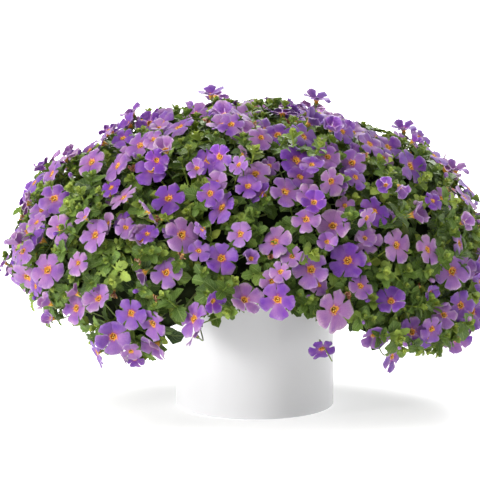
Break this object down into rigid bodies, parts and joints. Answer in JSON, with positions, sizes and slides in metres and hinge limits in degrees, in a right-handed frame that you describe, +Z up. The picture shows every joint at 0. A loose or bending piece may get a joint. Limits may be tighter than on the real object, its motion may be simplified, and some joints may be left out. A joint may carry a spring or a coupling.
{
  "type": "potted trailing flowering plant",
  "caption": "Mounding, trailing bacopa with toothed leaves and small five-petalled violet blooms, in a plain white cylindrical pot.",
  "frame": {"origin": "centre of the pot's flat foot", "axes": "+Z up along the pot's axis, -Y towards the side shown in the picture, +X to that view's right"},
  "size_m": [0.3704, 0.3506, 0.2336],
  "materials": {
    "pot": "satin",
    "soil": "matte",
    "foliage": "matte",
    "petals": "matte"
  },
  "bodies": {
    "root": {"pot": "pot", "soil": "soil", "leafy_stem_01": "foliage", "leafy_stem_02": "foliage", "leafy_stem_03": "foliage", "leafy_stem_04": "foliage", "leafy_stem_05": "foliage", "leafy_stem_06": "foliage", "leafy_stem_07": "foliage", "leafy_stem_08": "foliage", "leafy_stem_09": "foliage", "leafy_stem_10": "foliage", "leafy_stem_11": "foliage", "leafy_stem_12": "foliage", "leafy_stem_13": "foliage", "leafy_stem_14": "foliage", "leafy_stem_15": "foliage", "leafy_stem_16": "foliage", "leafy_stem_17": "foliage", "leafy_stem_18": "foliage", "leafy_stem_19": "foliage", "leafy_stem_20": "foliage", "bloom_spray_01": "petals", "bloom_spray_02": "petals", "bloom_spray_03": "petals", "bloom_spray_04": "petals", "bloom_spray_05": "petals", "bloom_spray_06": "petals", "bloom_spray_07": "petals", "bloom_spray_08": "petals", "bloom_spray_09": "petals", "bloom_spray_10": "petals", "bloom_spray_11": "petals", "bloom_spray_12": "petals", "bloom_spray_13": "petals", "bloom_spray_14": "petals", "bloom_spray_15": "petals", "bloom_spray_16": "petals", "bloom_spray_17": "petals", "bloom_spray_18": "petals", "bloom_spray_19": "petals", "bloom_spray_20": "petals", "bloom_spray_21": "petals", "bloom_spray_22": "petals", "bloom_spray_23": "petals", "bloom_spray_24": "petals", "bloom_spray_25": "petals", "bloom_spray_26": "petals", "bloom_spray_27": "petals", "bloom_spray_28": "petals", "bloom_spray_29": "petals", "bloom_spray_30": "petals", "bloom_spray_31": "petals", "bloom_spray_32": "petals", "bloom_spray_33": "petals", "bloom_spray_34": "petals", "bloom_spray_35": "petals", "bloom_spray_36": "petals", "bloom_spray_37": "petals", "bloom_spray_38": "petals"}
  },
  "joints": []
}
